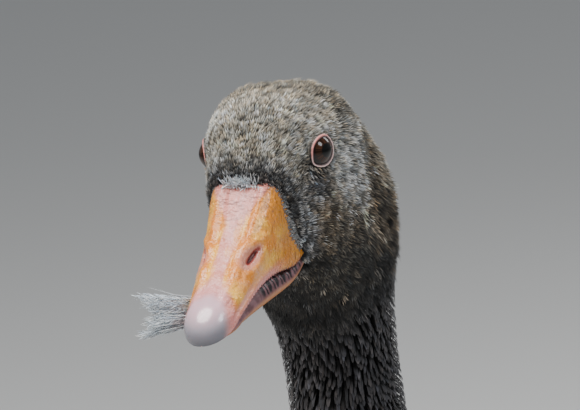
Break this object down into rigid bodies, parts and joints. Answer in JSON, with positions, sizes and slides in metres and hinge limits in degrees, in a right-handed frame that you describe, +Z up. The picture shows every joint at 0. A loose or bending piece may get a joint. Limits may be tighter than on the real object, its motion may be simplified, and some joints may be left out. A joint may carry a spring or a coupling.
{
  "type": "domestic goose",
  "caption": "Life-size grey-brown farmyard goose standing at rest, upright neck, orange-pink bill with a pale nail, folded wings, webbed feet flat on the floor.",
  "frame": {"origin": "on the floor under the soles, below the middle of the bird's width and length", "axes": "+Z up from the floor, -Y the way the bird faces, +X the bird's left"},
  "size_m": [0.2476, 0.6505, 0.7179],
  "materials": {
    "feathers_head": "matte",
    "feathers_neck": "matte",
    "feathers_body": "matte",
    "feathers_thigh": "matte",
    "feathers_tail": "matte",
    "wing_coverts": "matte",
    "wing_quills": "satin",
    "bill_horn": "satin",
    "bill_nail": "satin",
    "eye": "gloss",
    "leg_skin": "satin",
    "claw_horn": "satin"
  },
  "bodies": {
    "root": {"head": "feathers_head", "neck_upper": "feathers_neck", "neck_lower": "feathers_neck", "trunk": "feathers_body", "tail": "feathers_tail", "bill_upper": "bill_horn", "bill_lower": "bill_horn", "bill_nail": "bill_nail", "eye_left": "eye", "eye_right": "eye", "wing_left": "wing_coverts", "primaries_left": "wing_quills", "wing_right": "wing_coverts", "primaries_right": "wing_quills", "thigh_left": "feathers_thigh", "shank_left": "leg_skin", "foot_left": "leg_skin", "hind_toe_left": "leg_skin", "claw_inner_left": "claw_horn", "claw_middle_left": "claw_horn", "claw_outer_left": "claw_horn", "thigh_right": "feathers_thigh", "shank_right": "leg_skin", "foot_right": "leg_skin", "hind_toe_right": "leg_skin", "claw_inner_right": "claw_horn", "claw_middle_right": "claw_horn", "claw_outer_right": "claw_horn"}
  },
  "joints": []
}
